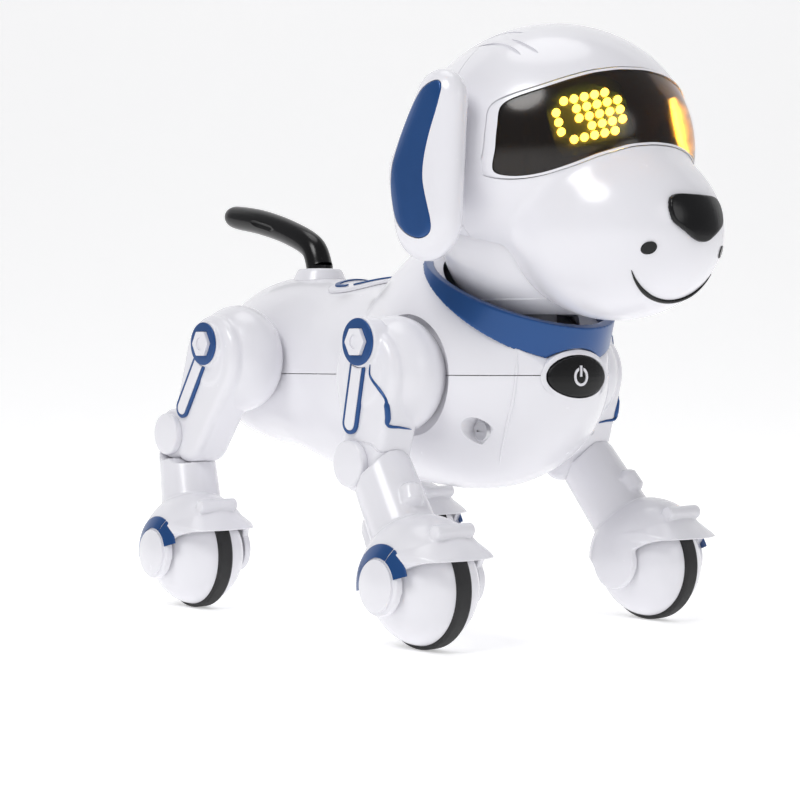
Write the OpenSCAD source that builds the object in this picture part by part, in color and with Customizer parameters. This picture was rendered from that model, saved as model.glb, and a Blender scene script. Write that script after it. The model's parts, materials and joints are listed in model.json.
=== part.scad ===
// Robot dog toy on ball wheels. Millimetres, +X forward, +Y the dog's left, +Z up.
// The origin is on the floor, under the middle of the whole toy.

/* [Wheels and stance] */
// Distance between the front and rear wheel axles
wheel_base = 142; // [130:1:155]
// Distance between the middles of the left and right wheels
track = 116; // [108:1:124]
// Radius of the wheel at its tyre
wheel_radius = 22; // [20:0.5:24]
// Width of the rubber tyre
tyre_width = 6.5; // [5:0.5:8]
// Radius of the axle pins of the wheels
axle_radius = 1.5; // [1.2:0.1:2]

/* [Shells] */
// Wall of the moulded shells
wall = 2.4; // [2:0.1:3]
// Half width of the chest
chest_half_width = 41; // [38:0.5:43]
// Height of the seam between the upper and lower body shells
seam_height = 95; // [90:1:100]
// Gap between neighbouring mouldings that do not touch
gap = 0.3; // [0.2:0.05:0.5]

/* [Joints] */
// Radius of the shoulder and hip pins
leg_pin_radius = 5; // [4:0.5:6]
// Radius of the post that the head turns on
neck_post_radius = 5; // [4:0.5:6]
// Radial clearance of pins that turn in their holes
running_clearance = 0.08; // [0.04:0.01:0.1]
// Travel of the power button
button_travel = 1; // [0.5:0.1:1.5]

/* [Head] */
// Outer radius of the ball that the head turns and nods on
neck_ball_radius = 35; // [33:0.5:36]
// Distance between the lights of the eyes
light_pitch = 3.4; // [3:0.1:4]
// Thickness of each ear
ear_thickness = 13; // [10:1:16]

/* [Hidden] */
$fn = 48;
front_axle_x = 63;
rear_axle_x = front_axle_x - wheel_base;
half_track = track / 2;
shoulder = [31, seam_height];
hip = [-68, 101];
hub_radius = 21.7;
hub_floor = chest_half_width - 6;
hub_middle = 45;
hub_half_thickness = 17;
leg_inner = chest_half_width + 2.6;
leg_outer = hub_middle + hub_half_thickness - 2;
front_knee = [26, 63];
rear_knee = [-95, 70];
knee_radius = 10.5;
disc_radius = 8.6;
cover_radius = wheel_radius + 3.2;
cover_half_width = 22;
dome_radius = wheel_radius - 1.2;
dome_half_width = 18;
head_centre = [66.5, 0, 176];
neck_pivot = [58.5, 0, 148];
collar_tilt = 37;
collar_shift = 8;
head_split_x = 62;
tail_pivot = [-72, 0, 135];
tail_stem_radius = 5.6;
screw_middle = [59, 75];
screw_floor = 26;
ear_pivot = [71, 0, 188];
button_height = 94.5;
button_half_width = 14.5;
button_half_height = 7.4;
button_face_x = 82;
bezel_width = 2.4;

// Each ellipsoid is its middle, measured from the shape's own centre, and its three half sizes.
head_ellipsoids = [
    [[0, 0, 0], [54, 49.5, 46]],
    [[33.5, 0, -31], [37.5, 35, 30.5]],
];
// The body's ellipsoids: middle along X, height of the middle, half length, half width, half height.
body_ellipsoids = [
    [29.5, 97, 53.5, chest_half_width, 45.5],
    [-20, 92, 62, 34, 40],
    [-76, 100, 52, 37, 36],
    [36, 118, 42, 35, 34],
];
// The tail's points from its base: along X, height, radius.
tail_points = [
    [tail_pivot[0], 139.6, 5.6],
    [-77, 148.5, 5.4],
    [-93, 155.5, 5.3],
    [-113, 161, 5.4],
    [-130, 164, 5.2],
    [-136, 165, 4.4],
    [-139, 165.4, 2.4],
    [-139.9, 165.5, 0.3],
];

white = [0.93, 0.93, 0.95];
blue = [0.10, 0.30, 0.55];
black = [0.03, 0.03, 0.03];
steel = [0.7, 0.7, 0.72];
amber = [1.0, 0.75, 0.1];
green = [0.1, 0.4, 0.2];

// ---------- helpers ----------

// A cylinder along Y from y1 to y2, in the XZ plane at p.
module bar_y(p, y1, y2, radius) {
    translate([p[0], max(y1, y2), p[1]])
        rotate([90, 0, 0])
            cylinder(h = abs(y2 - y1), r = radius);
}

// A flat outline in the XZ plane, made solid from y1 to y2.
module plate_y(y1, y2) {
    translate([0, max(y1, y2), 0])
        rotate([90, 0, 0])
            linear_extrude(abs(y2 - y1))
                children();
}

// A tapered round bar from point a to point b.
module bar_between(a, b, radius_a, radius_b) {
    d = b - a;
    translate(a)
        rotate([0, acos(d[2] / norm(d)), atan2(d[1], d[0])])
            cylinder(h = norm(d), r1 = radius_a, r2 = radius_b);
}

// A solid of revolution about Y, half as wide as half_width, cut off at y1 and y2.
module spheroid_y(radius, half_width, y1, y2, steps = 24) {
    first = asin(max(-1, y1 / half_width));
    last = asin(min(1, y2 / half_width));
    profile = [
        for (i = [0:steps])
            let (a = first + (last - first) * i / steps)
                [max(0.001, radius * cos(a)), half_width * sin(a)]
    ];
    rotate([-90, 0, 0])
        rotate_extrude($fn = 72)
            polygon(concat([[0, half_width * sin(first)]], profile, [[0, half_width * sin(last)]]));
}

// A closed solid through rings of points, each ring with the same number of points.
module skin(rings) {
    count = len(rings[0]);
    last = len(rings) - 1;
    polyhedron(
        points = [for (ring = rings) each ring],
        faces = concat(
            [[for (j = [0:count - 1]) j]],
            [[for (j = [count - 1:-1:0]) last * count + j]],
            [
                for (i = [0:last - 1], j = [0:count - 1], half = [0, 1])
                    let (
                        a = i * count + j,
                        b = i * count + (j + 1) % count,
                        c = a + count,
                        d = b + count
                    )
                        half == 0 ? [a, c, b] : [b, c, d]
            ]
        ),
        convexity = 4
    );
}

// Curved skins are cut to shape as a mesh. No length is changed: zeros keep each one as it is.
module as_one_mesh() {
    resize([0, 0, 0])
        children();
}

function total(values, i = 0) = i == len(values) ? 0 : values[i] + total(values, i + 1);
function blend(values, sharpness) = pow(total([for (v = values) pow(max(v, 0), sharpness)]), 1 / sharpness);

// ---------- head surface ----------

// How far along direction d, from the shape's centre, the ellipsoid e reaches.
function reach(d, e) =
    let (
        p = [for (i = [0:2]) d[i] / e[1][i]],
        q = [for (i = [0:2]) e[0][i] / e[1][i]],
        k = p * q,
        inside_root = k * k - (p * p) * (q * q - 1)
    )
        inside_root < 0 ? 0 : (k + sqrt(inside_root)) / (p * p);

module head_solid(inset, around = 36, up = 18) {
    translate(head_centre)
        skin([
            for (i = [0:up])
                let (v = -88 + 176 * i / up)
                    [
                        for (j = [0:around - 1])
                            let (
                                u = 360 * j / around,
                                d = [cos(v) * cos(u), cos(v) * sin(u), sin(v)],
                                r = blend([for (e = head_ellipsoids) reach(d, e)], 10) - inset
                            )
                                d * r
                    ]
        ]);
}

// The room inside the head's wall, drawn coarser than the outside.
module head_room() {
    head_solid(wall, 24, 12);
}

// ---------- body surface ----------

body_rear_x = body_ellipsoids[2][0] - body_ellipsoids[2][2];
body_front_x = body_ellipsoids[0][0] + body_ellipsoids[0][2];

// How much of ellipsoid e is left at x: 1 in its middle, 0 beyond its ends.
function fullness(x, e) = sqrt(max(0, 1 - pow((x - e[0]) / e[2], 2)));

function body_width(x) =
    blend([for (e = body_ellipsoids) e[3] * fullness(x, e)], 8);
function body_rise(x) =
    blend([for (e = body_ellipsoids) fullness(x, e) * e[4] + (e[1] - seam_height) * min(1, 3 * fullness(x, e))], 8);
function body_drop(x) =
    blend([for (e = body_ellipsoids) fullness(x, e) * e[4] - (e[1] - seam_height) * min(1, 3 * fullness(x, e))], 8);

module body_solid(inset, around = 40, along = 30) {
    middle = (body_rear_x + body_front_x) / 2;
    half = (body_front_x - body_rear_x) / 2;
    skin([
        for (i = [0:along])
            let (
                t = 6 + 168 * i / along,
                x = middle - half * cos(t),
                w = max(0.5, body_width(x) - inset),
                up = max(0.5, body_rise(x) - inset),
                down = max(0.5, body_drop(x) - inset),
                x_in = middle - (half - inset) * cos(t)
            )
                [
                    for (j = [0:around - 1])
                        let (a = 360 * j / around)
                            [x_in, w * cos(a), seam_height + (sin(a) > 0 ? up : down) * sin(a)]
                ]
    ]);
}

// ---------- body ----------

module in_collar_frame() {
    translate(neck_pivot)
        rotate([0, collar_tilt, 0])
            children();
}

// The pockets that the round tops of the legs sit in, on both sides.
module leg_pockets(grow) {
    for (p = [shoulder, hip], side = [-1, 1])
        bar_y(p, side * (hub_floor - grow), side * 70, hub_radius + 2 * gap + grow);
}

module leg_pin_holes() {
    for (p = [shoulder, hip])
        bar_y(p, -50, 50, leg_pin_radius + running_clearance);
}

// The body outline, sloping away below the front of the collar.
module trimmed_body(inset, around = 40, along = 30) {
    intersection() {
        body_solid(inset, around, along);
        in_collar_frame()
            translate([collar_shift, 0, -226 - inset])
                cylinder(h = 200, r1 = 438, r2 = 38);
    }
}

module body_shell() {
    difference() {
        trimmed_body(0);
        difference() {
            trimmed_body(wall, 28, 20);
            leg_pockets(wall);
            screw_pits(wall);
        }
        leg_pockets(0);
        screw_pits(0);
        in_collar_frame()
            translate([collar_shift / 2, 0, -45])
                cylinder(h = 80, r = 28);
        button_plug(0.4, 60, 100);
        translate([tail_pivot[0], 0, 120])
            cylinder(h = 40, r = 6.9);
        translate([-12, -14, 40])
            cube([36, 28, 20]);
    }
}

// The round pits of the screws low on each side of the chest.
module screw_pits(grow) {
    for (side = [-1, 1])
        bar_y(screw_middle, side * (screw_floor - grow), side * 60, 5 + grow);
}

// The oval of the power button as a straight plug along X, from x1 to x2.
module button_plug(grow, x1, x2) {
    translate([x1, 0, button_height])
        rotate([0, 90, 0])
            linear_extrude(x2 - x1)
                polygon([
                    for (a = [0:7.5:352.5])
                        [(button_half_height + grow) * cos(a), (button_half_width + grow) * sin(a)]
                ]);
}

module body_upper_shell() {
    color(white)
        difference() {
            as_one_mesh()
                intersection() {
                    body_shell();
                    above_seam();
                }
            leg_pin_holes();
        }
}

module body_lower_shell() {
    color(white)
        difference() {
            as_one_mesh()
                difference() {
                    body_shell();
                    above_seam();
                }
            leg_pin_holes();
        }
}

module above_seam() {
    translate([-200, -100, seam_height])
        cube([400, 200, 100]);
}

module back_touch_panel() {
    color(white)
        as_one_mesh()
            intersection() {
                difference() {
                    body_solid(-1.6);
                    body_solid(-0.1);
                }
                translate([-34, 0, 120])
                    linear_extrude(30)
                        back_panel_outline(0);
            }
}

module back_panel_outline(inset) {
    polygon([
        [-14 + inset, -16 + inset],
        [8 - inset, -13 + inset],
        [25 - 2 * inset, -3],
        [25 - 2 * inset, 3],
        [8 - inset, 13 - inset],
        [-14 + inset, 16 - inset],
    ]);
}

module back_panel_blue_trim() {
    color(blue)
        as_one_mesh()
            intersection() {
                difference() {
                    body_solid(-2.2);
                    body_solid(-1.7);
                }
                translate([-34, 0, 120])
                    linear_extrude(30)
                        difference() {
                            back_panel_outline(2);
                            back_panel_outline(3.4);
                            translate([-4, -20])
                                square([4, 40]);
                        }
            }
}

module collar() {
    color(blue)
        as_one_mesh()
            difference() {
                in_collar_frame()
                    translate([collar_shift, 0, 0])
                        rotate_extrude($fn = 64)
                            polygon([[38.3, -26.6], [33, -8], [29.4, -8], [34.7, -26.6]]);
                translate(neck_pivot)
                    sphere(r = neck_ball_radius + 0.5, $fn = 64);
                translate(neck_pivot + [-5, 0, -21.7])
                    rotate([0, 25, 0])
                        translate([-60, -60, 0])
                            cube([120, 120, 60]);
                lowered_head();
                trimmed_body(-0.05);
                button_plug(bezel_width + gap, 60, 100);
            }
}

// The head at the bottom of its nod, with room to spare.
module lowered_head() {
    translate(neck_pivot)
        rotate([0, 3, 0])
            translate(-neck_pivot)
                head_solid(-1);
}

// The shallow dome that the button and its bezel are rounded to, reaching forward to front_x.
module button_dome(front_x) {
    translate([front_x - 60, 0, button_height])
        sphere(r = 60, $fn = 96);
}

module chest_button_bezel() {
    color(white)
        as_one_mesh()
            intersection() {
                button_dome(button_face_x - 0.4);
                difference() {
                    button_plug(bezel_width, 70, 100);
                    button_plug(0.4, 60, 110);
                    trimmed_body(-0.05);
                }
            }
}

module power_button() {
    color(black)
        intersection() {
            button_plug(0, button_face_x - 10, 100);
            button_dome(button_face_x);
        }
}

module power_symbol() {
    color(white)
        translate([button_face_x, 0, button_height])
            rotate([0, 90, 0])
                linear_extrude(0.4)
                    power_symbol_outline();
}

module power_symbol_outline() {
    difference() {
        circle(r = 3.4);
        circle(r = 2.5);
        translate([-4, -1.2])
            square([4, 2.4]);
    }
    translate([-4, -0.45])
        square([4, 0.9]);
}

// The inner post that the neck ball turns on.
module neck_post() {
    foot = 74;
    color(white)
        translate([neck_pivot[0], 0, 0]) {
            translate([0, 0, foot])
                cylinder(h = neck_pivot[2] - 26.4 - foot, r = 8);
            translate([0, 0, foot])
                cylinder(h = neck_pivot[2] - 11.5 - foot, r = neck_post_radius);
            translate([-11, -9, foot])
                cube([18, 18, 3]);
        }
}

module main_circuit_board() {
    color(green)
        translate([-52, -22, 84])
            cube([64, 44, 1.6]);
}

module battery_pack() {
    color(blue)
        for (side = [-1, 1])
            translate([-20, side * 8, 69])
                rotate([0, 90, 0])
                    cylinder(h = 50, r = 7);
}

module battery_door() {
    color(white)
        as_one_mesh()
            intersection() {
                difference() {
                    body_solid(0);
                    body_solid(wall);
                }
                translate([-12 + gap, -14 + gap, 40])
                    cube([36 - 2 * gap, 28 - 2 * gap, 20]);
            }
}

module speaker() {
    color(black)
        translate([-64, 0, 76])
            cylinder(h = 6, r = 12);
}

module leg_gear_motors() {
    color(white)
        for (p = [shoulder, hip], side = [0, 1])
            mirror([0, side, 0])
                difference() {
                    translate([p[0] - 11, 13, p[1] - 10])
                        cube([22, hub_floor - wall - 3.6 - 13, 18]);
                    bar_y(p, -60, 60, leg_pin_radius + running_clearance);
                }
}

module body_shell_screws() {
    color(steel)
        for (side = [-1, 1])
            difference() {
                bar_y(screw_middle, side * screw_floor, side * (screw_floor + 1.8), 3.4);
                translate([screw_middle[0] - 2, side * (screw_floor + 1.5) - 0.5, screw_middle[1] - 0.4])
                    cube([4, 1, 0.8]);
            }
}

module tail_socket() {
    color(white)
        difference() {
            as_one_mesh()
                difference() {
                    translate([tail_pivot[0], 0, 128])
                        cylinder(h = 11, r1 = 14, r2 = 9.2);
                    body_solid(-0.05);
                }
            translate([tail_pivot[0], 0, 110])
                cylinder(h = 60, r = tail_stem_radius + running_clearance);
        }
}

// The curve through points at position t: 0 at the first point, 1 at the second and so on.
function along_curve(points, t) =
    let (
        i = min(len(points) - 2, floor(t)),
        s = t - i,
        a = points[max(0, i - 1)],
        b = points[i],
        c = points[i + 1],
        d = points[min(len(points) - 1, i + 2)]
    )
        b + ((c - a) * s + (2 * a - 5 * b + 4 * c - d) * s * s + (3 * b - 3 * c + d - a) * s * s * s) / 2;

module tail() {
    last = len(tail_points) - 1;
    color(black) {
        as_one_mesh()
            skin([
                for (t = [0:0.25:last])
                    let (
                        p = along_curve(tail_points, t),
                        ahead = along_curve(tail_points, min(last, t + 0.1)),
                        behind = along_curve(tail_points, max(0, t - 0.1)),
                        lean = atan2(ahead[0] - behind[0], ahead[1] - behind[1])
                    )
                        [
                            for (a = [0:15:345])
                                [
                                    p[0] + p[2] * cos(a) * cos(lean),
                                    p[2] * sin(a),
                                    p[1] - p[2] * cos(a) * sin(lean)
                                ]
                        ]
            ]);
        translate([tail_pivot[0], 0, 128.5])
            cylinder(h = 2.5, r = 9);
        translate([tail_pivot[0], 0, 128.5])
            cylinder(h = 12, r = tail_stem_radius);
    }
}

// ---------- neck and head ----------

module neck_ball() {
    color(white)
        translate(neck_pivot) {
            difference() {
                sphere(r = neck_ball_radius, $fn = 72);
                sphere(r = neck_ball_radius - wall, $fn = 72);
                translate([-50, -50, -81])
                    cube([100, 100, 50]);
                rotate([0, 10, 0])
                    translate([-50, -50, 14])
                        cube([100, 100, 50]);
            }
            difference() {
                union() {
                    translate([0, 0, -26])
                        cylinder(h = 3, r = 24);
                    translate([0, 0, -26])
                        cylinder(h = 18, r = 8.5);
                    translate([-8, -8, -9])
                        cube([16, 16, 17]);
                }
                translate([0, 0, -27])
                    cylinder(h = 16, r = neck_post_radius + running_clearance);
                bar_y([0, 0], -10, 10, 3 + running_clearance);
            }
        }
}

module head_shell() {
    difference() {
        head_solid(0);
        head_room();
        translate(neck_pivot)
            sphere(r = neck_ball_radius + 0.7, $fn = 44);
        visor_block(0);
    }
}

module ear_pin_holes() {
    bar_y([ear_pivot[0], ear_pivot[2]], -60, 60, 3 + running_clearance);
}

module behind_head_split() {
    translate([head_split_x - 100, -100, 100])
        cube([100, 200, 200]);
}

module head_back_shell() {
    color(white)
        as_one_mesh()
            intersection() {
                head_shell();
                behind_head_split();
            }
}

module head_front_shell() {
    color(white)
        difference() {
            as_one_mesh()
                difference() {
                    head_shell();
                    behind_head_split();
                }
            ear_pin_holes();
        }
}

// Outline of the visor seen from the front, right half then left half.
visor_half = [
    [0, 201.5], [12, 200.8], [22, 199], [30, 196.3], [37, 193.3], [42, 191], [45, 188.6], [46.5, 185],
    [47.5, 177], [47.3, 167], [46, 163], [42, 161.5], [37, 162.4], [31, 165.3], [24, 169],
    [14, 172.4], [5, 173.5],
];

module visor_outline(grow) {
    offset(delta = grow)
        polygon(concat(
            [for (p = visor_half) p],
            [for (i = [len(visor_half) - 1:-1:1]) [-visor_half[i][0], visor_half[i][1]]]
        ));
}

module visor_block(grow) {
    translate([80, 0, 0])
        rotate([90, 0, 90])
            linear_extrude(60)
                visor_outline(grow);
}

module visor_rim() {
    color(white)
        as_one_mesh()
            intersection() {
                difference() {
                    head_solid(-0.4);
                    head_room();
                }
                difference() {
                    visor_block(-gap);
                    visor_block(-1.3);
                }
            }
}

module visor_lens() {
    color(black)
        as_one_mesh()
            intersection() {
                difference() {
                    head_solid(0);
                    head_solid(1.8);
                }
                visor_block(-1.4);
            }
}

module nose_block(grow) {
    translate([120, 0, 0])
        rotate([90, 0, 90])
            linear_extrude(30)
                offset(r = 4 + grow)
                    polygon([[-8.5, 152], [8.5, 152], [9, 147], [0, 142.5], [-9, 147]]);
}

module nose() {
    color(black)
        as_one_mesh()
            intersection() {
                difference() {
                    head_solid(-1.8);
                    head_solid(-0.05);
                }
                nose_block(0);
            }
}

module mouth_outline() {
    intersection() {
        difference() {
            translate([0, 146.5])
                circle(r = 20.1, $fn = 32);
            translate([0, 146.5])
                circle(r = 18.9, $fn = 32);
        }
        translate([-18.2, 110])
            square([36.4, 27.5]);
    }
    for (side = [-1, 1])
        translate([side * 18.6, 137.5])
            circle(r = 2.2, $fn = 16);
}

module mouth_line() {
    color(black)
        as_one_mesh()
            intersection() {
                difference() {
                    head_solid(-0.5);
                    head_solid(-0.05);
                }
                translate([100, 0, 0])
                    rotate([90, 0, 90])
                        linear_extrude(60)
                            mouth_outline();
            }
}

// Lights of each eye: rows from the top, 1 where a light is fitted, from the outer side inwards.
eye_rows = [
    [0, 1, 1, 1, 1, 1, 0],
    [1, 0, 1, 1, 1, 1, 1],
    [1, 0, 1, 1, 1, 1, 1],
    [1, 0, 0, 1, 1, 1, 1],
    [0, 1, 1, 1, 1, 1, 0],
];
// The middle of each eye on the lens, for the left eye, and how far it is turned from facing forward.
eye_middle = [111.6, 25.3, 184];
eye_yaw = 34;
eye_pitch = 11;
eye_roll = 13;

// Moves its children to the eye on one side, with +X pointing out through the lens.
module at_eye(side) {
    translate([eye_middle[0], side * eye_middle[1], eye_middle[2]])
        rotate([-side * eye_roll, -eye_pitch, side * eye_yaw])
            children();
}

module eye_light_board() {
    color(green)
        as_one_mesh()
            intersection() {
                for (side = [-1, 1])
                    at_eye(side)
                        translate([-7, -14, -12])
                            cube([1.6, 28, 34]);
                head_solid(wall + 0.6, 24, 12);
            }
}

module eye_lights() {
    column_pitch = light_pitch * 1.06;
    color(amber)
        for (side = [-1, 1])
            at_eye(side)
                for (row = [0:4], column = [0:6])
                    if (eye_rows[row][column] == 1)
                        translate([-5.4, side * (3 - column) * column_pitch, (2 - row) * light_pitch])
                            rotate([0, 90, 0])
                                cylinder(h = 1.2, r = 1.3, $fn = 16);
}

// The yoke hangs from the top of the head, and its arms hold the pin that the head nods on.
module head_yoke() {
    color(white)
        translate(neck_pivot)
            difference() {
                union() {
                    for (side = [-1, 1])
                        translate([-6, side > 0 ? 8.6 : -11.6, -6])
                            cube([12, 3, 60]);
                    translate([-6, -32, 52])
                        cube([12, 64, 4]);
                }
                bar_y([0, 0], -20, 20, 3);
            }
}

module head_nod_pin() {
    color(steel)
        translate(neck_pivot)
            bar_y([0, 0], -12.5, 12.5, 3);
}

// ---------- ears ----------

module ear_outline() {
    hull() {
        translate([71, 189])
            circle(r = 11);
        translate([61, 165])
            circle(r = 15.5);
        translate([64, 150])
            circle(r = 15.3);
    }
}

// The blue inlay's outline, in order from its top: points along X and height.
ear_inlay_points = [
    [74, 196], [67, 193.6], [60.6, 187.6], [55.2, 179], [51.6, 170], [49.6, 159], [52.2, 149.6],
    [58.7, 144.1], [66.2, 141.6], [71.6, 143.2], [72.8, 147], [70.9, 153.6], [68.6, 160.6],
    [68.4, 165.6], [69.6, 171.4], [72, 178], [75, 184.6], [77.2, 191.4], [76.6, 194.6],
];

module blue_outline() {
    polygon(ear_inlay_points);
}

module ear_shell() {
    color(white) {
        difference() {
            hull()
                for (ball = [[71, 189, 11], [61, 165, 15.5], [64, 150, 15.3]])
                    translate([ball[0], 50.5 + ear_thickness / 2, ball[1]])
                        scale([1, ear_thickness / 2 / ball[2], 1])
                            sphere(r = ball[2], $fn = 28);
            plate_y(50.5 + ear_thickness - 2.2, 80)
                blue_outline();
        }
        bar_y([ear_pivot[0], ear_pivot[2]], 44, 54, 3);
    }
}

module ear_blue_inlay() {
    color(blue)
        plate_y(50.5 + ear_thickness - 2.1, 50.5 + ear_thickness - 0.4)
            blue_outline();
}

module right_side() {
    mirror([0, 1, 0])
        children();
}

module left_ear_shell() { ear_shell(); }
module left_ear_blue_inlay() { ear_blue_inlay(); }
module right_ear_shell() { right_side() ear_shell(); }
module right_ear_blue_inlay() { right_side() ear_blue_inlay(); }

// ---------- legs ----------
// Every leg and wheel is drawn on the left side and mirrored for the right side.

// Leg record: [hub, disc middle, link end, cuff middle, knee, top of the shin, wheel axle along X].
front_leg = [shoulder, [31, 107], [24.8, 77.8], [30, 70], front_knee, [28, 52, 68], front_axle_x];
rear_leg = [hip, [-68, 107], [-85.5, 81], [-85, 70], rear_knee, [-96, 52, 66], rear_axle_x];

function wheel_middle(leg) = [leg[6], half_track, wheel_radius];

// The flat outline that the thigh and the knee share.
module thigh_outline(leg) {
    hull() {
        translate(leg[0])
            circle(r = 17.5);
        translate(leg[3])
            circle(r = 11.5);
    }
    translate(leg[4])
        circle(r = knee_radius);
}

module thigh(leg) {
    color(white) {
        translate([leg[0][0], hub_middle, leg[0][1]])
            spheroid_y(
                hub_radius, hub_half_thickness,
                hub_floor + gap - hub_middle, leg_outer - hub_middle
            );
        plate_y(leg_inner, leg_outer)
            thigh_outline(leg);
        bar_y(leg[1], leg_outer - 6, leg_outer + 1.5, disc_radius + 0.5);
        bar_y(leg[0], 22, hub_floor + 1, leg_pin_radius);
    }
}

module shin_and_wheel_cover(leg) {
    color(white) {
        difference() {
            union() {
                bar_between(leg[5], wheel_middle(leg), 11.2, 12.8);
                translate(wheel_middle(leg))
                    cover_solid();
            }
            plate_y(20, 80)
                offset(delta = 0.05)
                    thigh_outline(leg);
            translate(wheel_middle(leg))
                wheel_room();
            translate(wheel_middle(leg))
                plate_y(-40, 40)
                    difference() {
                        translate([-60, -60])
                            square([120, 84]);
                        cover_side_outline();
                    }
        }
    }
}

// Side view of the cover: open below an S-curved edge, with round lobes that carry the axle.
lobe_middle = [-1, 1.5];
module cover_side_outline() {
    polygon([
        [40, 11.5], [18, 10.6], [11, 8.6], [7, 5], [0, 2],
        [-9, -4], [-13, 0], [-18, 1.2], [-40, -0.5], [-40, 60], [40, 60],
    ]);
    translate(lobe_middle)
        circle(r = 10.5);
}

module cover_solid() {
    spheroid_y(cover_radius, cover_half_width, -cover_half_width, cover_half_width);
    cover_brim();
    bar_y([15.5, 20.2], -8, 9, 2.6);
}

// The lower edge of the cover flares out at its front.
module cover_brim() {
    intersection() {
        translate([5.5, 0, 10])
            cylinder(h = 7, r1 = 22.3, r2 = 13.3);
        spheroid_y(31, 21, -21, 21);
    }
}

// The room that the wheel turns in, with the holes for its axle.
module wheel_room() {
    spheroid_y(wheel_radius + 1, dome_half_width + 1.2, -dome_half_width - 1.2, dome_half_width + 1.2);
    bar_y([0, 0], -21.5, 21.5, axle_radius + running_clearance);
}

// Blue trim: the ring of the shoulder or hip disc, the outline of the link and the foot arcs.
module blue_trim(leg) {
    color(blue) {
        plate_y(leg_outer + 1.5, leg_outer + 2.3)
            translate(leg[1])
                difference() {
                    circle(r = disc_radius);
                    circle(r = 5.6, $fn = 6);
                }
        plate_y(leg_outer, leg_outer + 0.8)
            difference() {
                link_outline(leg, 4.2);
                link_outline(leg, 2.9);
                translate(leg[1])
                    circle(r = disc_radius + 0.8);
            }
        translate(wheel_middle(leg))
            foot_arcs();
    }
}

module link_outline(leg, radius) {
    hull() {
        translate(leg[1])
            circle(r = radius);
        translate(leg[2])
            circle(r = radius);
    }
}

module foot_arcs() {
    intersection() {
        difference() {
            spheroid_y(cover_radius + 0.5, cover_half_width + 0.5, 10, cover_half_width + 0.5);
            spheroid_y(cover_radius + 0.05, cover_half_width + 0.05, 0, cover_half_width + 0.05);
            cover_brim();
        }
        plate_y(10, 30)
            translate(lobe_middle)
                difference() {
                    circle(r = 14.2);
                    circle(r = 9.7);
                    for (a = [18, 193])
                        rotate(a)
                            translate([0, a == 18 ? -30 : 0])
                                square([30, 30]);
                    rotate(65)
                        translate([0, -0.7])
                            square([30, 1.4]);
                    translate([-30, -30])
                        square([60, 27]);
                }
    }
}

// White caps: the nut on the disc, the bar inside the link, the knee cap and the foot disc.
module caps(leg) {
    color(white) {
        plate_y(leg_outer + 1.5, leg_outer + 3.6)
            translate(leg[1])
                circle(r = 5.5, $fn = 6);
        plate_y(leg_outer, leg_outer + 1.1)
            difference() {
                link_outline(leg, 2.8);
                translate(leg[1])
                    circle(r = disc_radius + 0.8);
            }
        bar_y(leg[4], leg_outer, leg_outer + 3, disc_radius);
        translate(wheel_middle(leg))
            difference() {
                intersection() {
                    bar_y(lobe_middle, cover_half_width - 5, cover_half_width + 2, 9);
                    spheroid_y(cover_radius + 0.9, cover_half_width + 0.8, 0, cover_half_width + 0.8);
                }
                spheroid_y(
                    cover_radius + 0.05, cover_half_width + 0.05,
                    -cover_half_width, cover_half_width + 0.05
                );
            }
    }
}

// ---------- wheels ----------

module wheel_domes(leg) {
    color(white)
        translate(wheel_middle(leg))
            for (side = [0, 1])
                mirror([0, side, 0])
                    difference() {
                        union() {
                            spheroid_y(dome_radius, dome_half_width, tyre_width / 2, dome_half_width);
                            bar_y([0, 0], 0.05, tyre_width / 2, dome_radius - 1.6);
                        }
                        difference() {
                            spheroid_y(dome_radius - 3.4, dome_half_width - 2, 0, dome_half_width - 2);
                            bar_y([0, 0], 0, 20, 4);
                        }
                        bar_y([0, 0], -1, 20, axle_radius);
                    }
}

module tyre(leg) {
    half = tyre_width / 2;
    color(black)
        translate(wheel_middle(leg))
            rotate([90, 0, 0])
                rotate_extrude($fn = 96)
                    polygon([
                        [dome_radius - 1.6, 0.05 - half], [wheel_radius - 0.9, 0.05 - half],
                        [wheel_radius, 1.2 - half], [wheel_radius, half - 1.2],
                        [wheel_radius - 0.9, half - 0.05], [dome_radius - 1.6, half - 0.05],
                    ]);
}

module axle(leg) {
    color(steel)
        translate(wheel_middle(leg))
            bar_y([0, 0], -21, 21, axle_radius);
}

module front_left_thigh() { thigh(front_leg); }
module front_left_shin_and_wheel_cover() { shin_and_wheel_cover(front_leg); }
module front_left_blue_trim() { blue_trim(front_leg); }
module front_left_caps() { caps(front_leg); }
module front_right_thigh() { right_side() thigh(front_leg); }
module front_right_shin_and_wheel_cover() { right_side() shin_and_wheel_cover(front_leg); }
module front_right_blue_trim() { right_side() blue_trim(front_leg); }
module front_right_caps() { right_side() caps(front_leg); }
module rear_left_thigh() { thigh(rear_leg); }
module rear_left_shin_and_wheel_cover() { shin_and_wheel_cover(rear_leg); }
module rear_left_blue_trim() { blue_trim(rear_leg); }
module rear_left_caps() { caps(rear_leg); }
module rear_right_thigh() { right_side() thigh(rear_leg); }
module rear_right_shin_and_wheel_cover() { right_side() shin_and_wheel_cover(rear_leg); }
module rear_right_blue_trim() { right_side() blue_trim(rear_leg); }
module rear_right_caps() { right_side() caps(rear_leg); }
module front_left_wheel_domes() { wheel_domes(front_leg); }
module front_left_tyre() { tyre(front_leg); }
module front_left_axle() { axle(front_leg); }
module front_right_wheel_domes() { right_side() wheel_domes(front_leg); }
module front_right_tyre() { right_side() tyre(front_leg); }
module front_right_axle() { right_side() axle(front_leg); }
module rear_left_wheel_domes() { wheel_domes(rear_leg); }
module rear_left_tyre() { tyre(rear_leg); }
module rear_left_axle() { axle(rear_leg); }
module rear_right_wheel_domes() { right_side() wheel_domes(rear_leg); }
module rear_right_tyre() { right_side() tyre(rear_leg); }
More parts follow.
